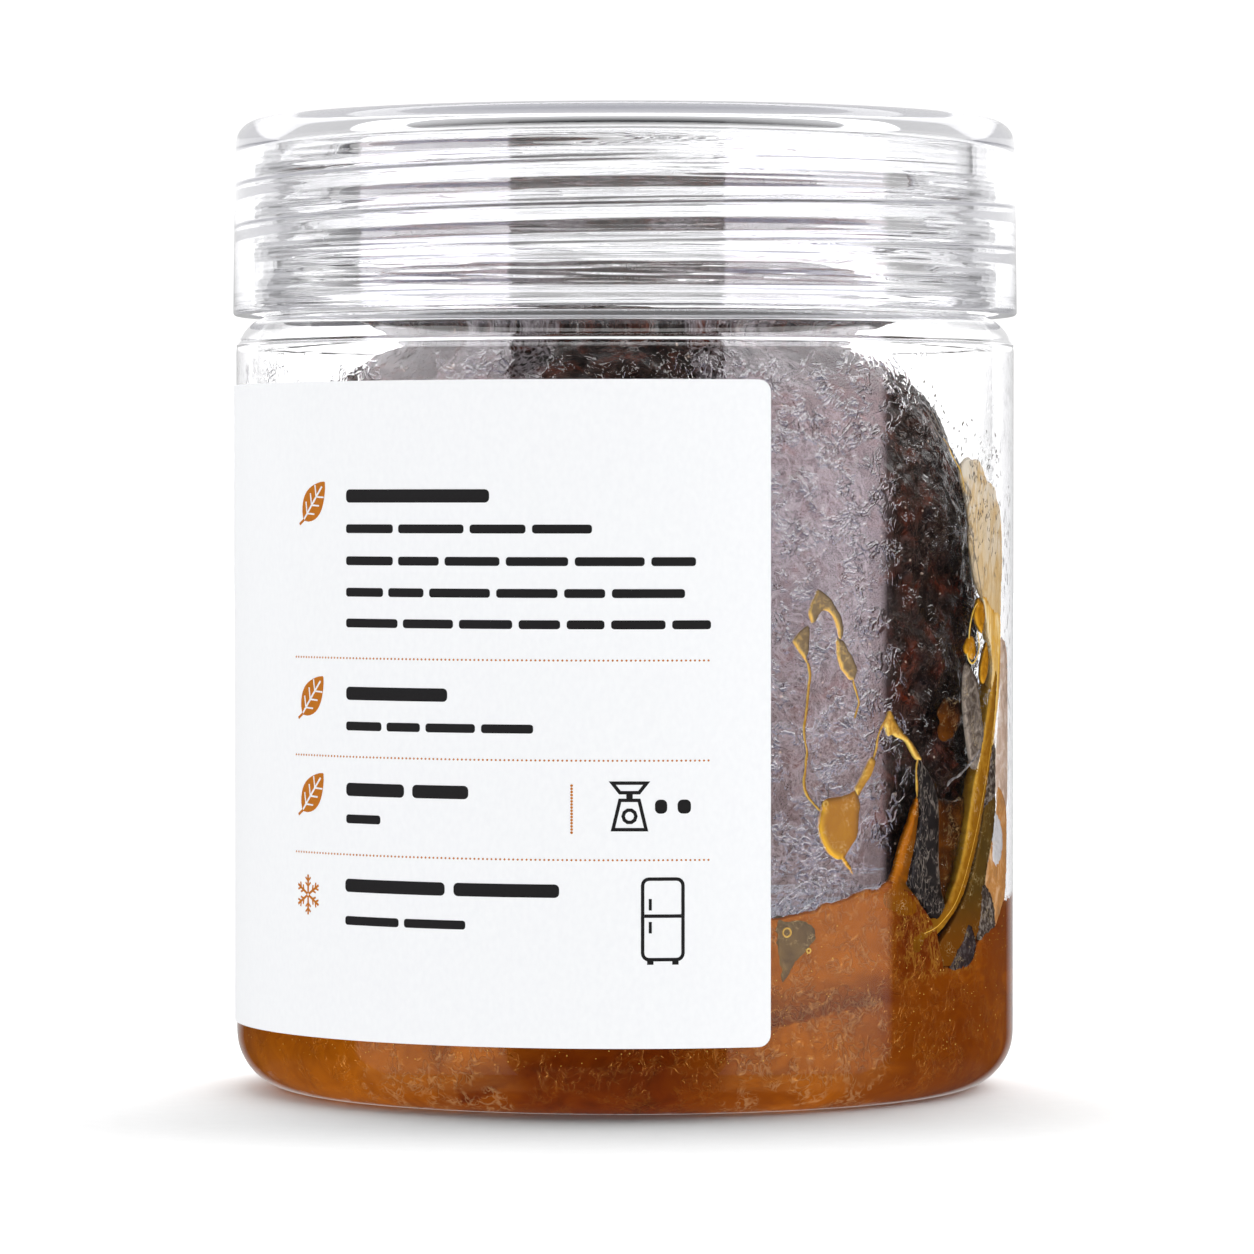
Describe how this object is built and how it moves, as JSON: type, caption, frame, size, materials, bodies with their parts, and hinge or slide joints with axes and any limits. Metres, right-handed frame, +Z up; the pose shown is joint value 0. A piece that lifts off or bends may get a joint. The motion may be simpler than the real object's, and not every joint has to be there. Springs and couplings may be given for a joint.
{
  "type": "date pudding",
  "caption": "Dark date pudding in toffee sauce, shut in a clear straight-sided jar with a clear screw lid and a white wrap label.",
  "frame": {"origin": "centre of the ring that the jar stands on", "axes": "+Z up along the jar's axis to the lid, -Y the side that shows the label's free edge with the pudding beside it, +X to the right of that side"},
  "size_m": [0.065, 0.065, 0.08],
  "materials": {
    "clear_pet": "clear, glossy, moulded",
    "clear_lid": "clear, glossy, faintly lined by its thread",
    "label_paper": "smooth white, satin",
    "date_crumb": "moist dark baked crumb",
    "toffee": "glossy amber, translucent"
  },
  "bodies": {
    "root": {"jar_body": "clear_pet", "lid": "clear_lid", "label": "label_paper", "date_pudding": "date_crumb", "toffee_sauce": "toffee"}
  },
  "joints": []
}
